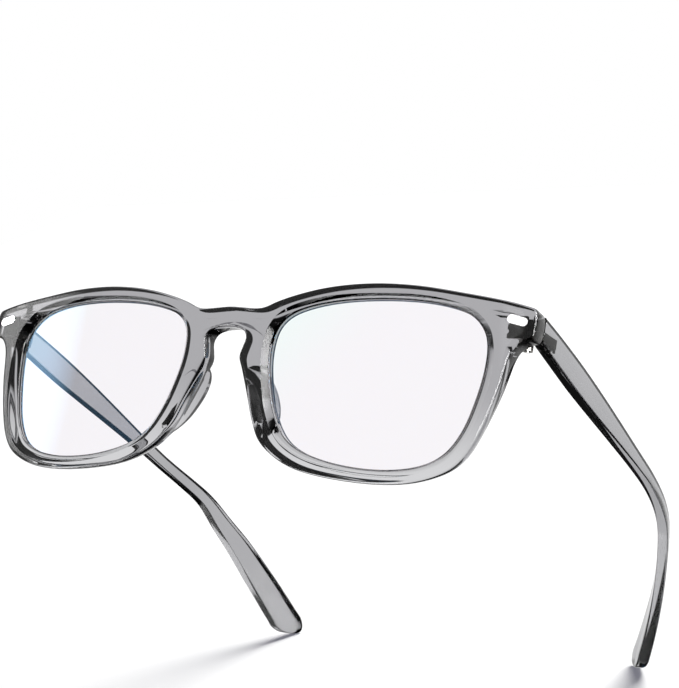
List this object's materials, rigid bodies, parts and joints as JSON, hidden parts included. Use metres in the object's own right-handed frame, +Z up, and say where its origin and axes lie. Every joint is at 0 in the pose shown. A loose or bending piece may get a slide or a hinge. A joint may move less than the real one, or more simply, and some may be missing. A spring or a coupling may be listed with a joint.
{
  "type": "blue light glasses",
  "caption": "Pair of blue light glasses with a moulded clear-grey front, coated lenses, embedded metal hinges and folding curved temples.",
  "frame": {"origin": "on the surface it stands on, under the middle of the box round the open glasses", "axes": "+Z up, front of the glasses faces -Y, temples run back along +Y, +X to the right as seen from the front"},
  "size_m": [0.147, 0.136, 0.0443],
  "materials": {
    "clear_grey_plastic": "polished transparent grey",
    "coated_lens": "clear with a blue reflecting coating",
    "silver_trim": "polished silver",
    "hinge_metal": "satin",
    "hinge_screw_steel": "bright turned"
  },
  "bodies": {
    "front": {"front_frame": "clear_grey_plastic", "lens_left": "coated_lens", "lens_right": "coated_lens", "inlay_left": "silver_trim", "inlay_right": "silver_trim", "front_leaf_left": "hinge_metal", "front_leaf_right": "hinge_metal", "hinge_screw_left": "hinge_screw_steel", "hinge_screw_right": "hinge_screw_steel"},
    "left_temple": {"temple_left": "clear_grey_plastic", "temple_leaf_left": "hinge_metal"},
    "right_temple": {"temple_right": "clear_grey_plastic", "temple_leaf_right": "hinge_metal"}
  },
  "joints": [
    {"name": "left_temple_fold", "type": "hinge", "parent": "front", "child": "left_temple", "pos_m": [-0.069, -0.05514, 0.03632], "axis": [0, 0.1536, -0.9881], "range_deg": [0, 88]},
    {"name": "right_temple_fold", "type": "hinge", "parent": "front", "child": "right_temple", "pos_m": [0.069, -0.05514, 0.03632], "axis": [0, -0.1536, 0.9881], "range_deg": [0, 82]}
  ]
}
